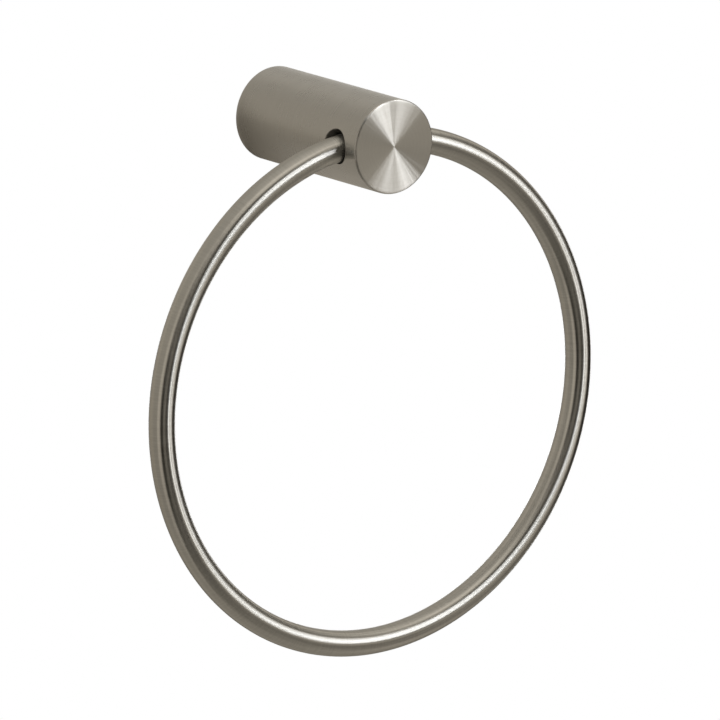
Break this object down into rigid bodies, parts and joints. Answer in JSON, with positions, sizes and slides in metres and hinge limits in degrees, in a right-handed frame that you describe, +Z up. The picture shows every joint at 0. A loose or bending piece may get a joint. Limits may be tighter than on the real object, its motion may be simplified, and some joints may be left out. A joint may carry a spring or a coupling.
{
  "type": "towel ring",
  "caption": "Wall-mounted towel ring: a round bar ring hangs loose through the cross hole of a turned cylindrical post and swings in it.",
  "frame": {"origin": "centre of the wall face, which is the back of the fixing disc", "axes": "+Z up, +Y into the wall; the post stands out along -Y and the ring hangs parallel to the wall"},
  "size_m": [0.164, 0.062, 0.174],
  "materials": {
    "turned_steel": "satin turned round the barrel, with a finely faced front end",
    "brushed_bar": "brushed round the bar",
    "plain_steel": "as turned",
    "screw_steel": "plain"
  },
  "bodies": {
    "mount": {"post": "turned_steel", "fixing_disc": "plain_steel", "grub_screw": "screw_steel"},
    "ring": {"ring": "brushed_bar"}
  },
  "joints": [
    {"name": "ring_swing", "type": "hinge", "parent": "mount", "child": "ring", "pos_m": [0, -0.0515, 0], "axis": [-1, 0, 0], "range_deg": [-17.5, 197.5]}
  ]
}
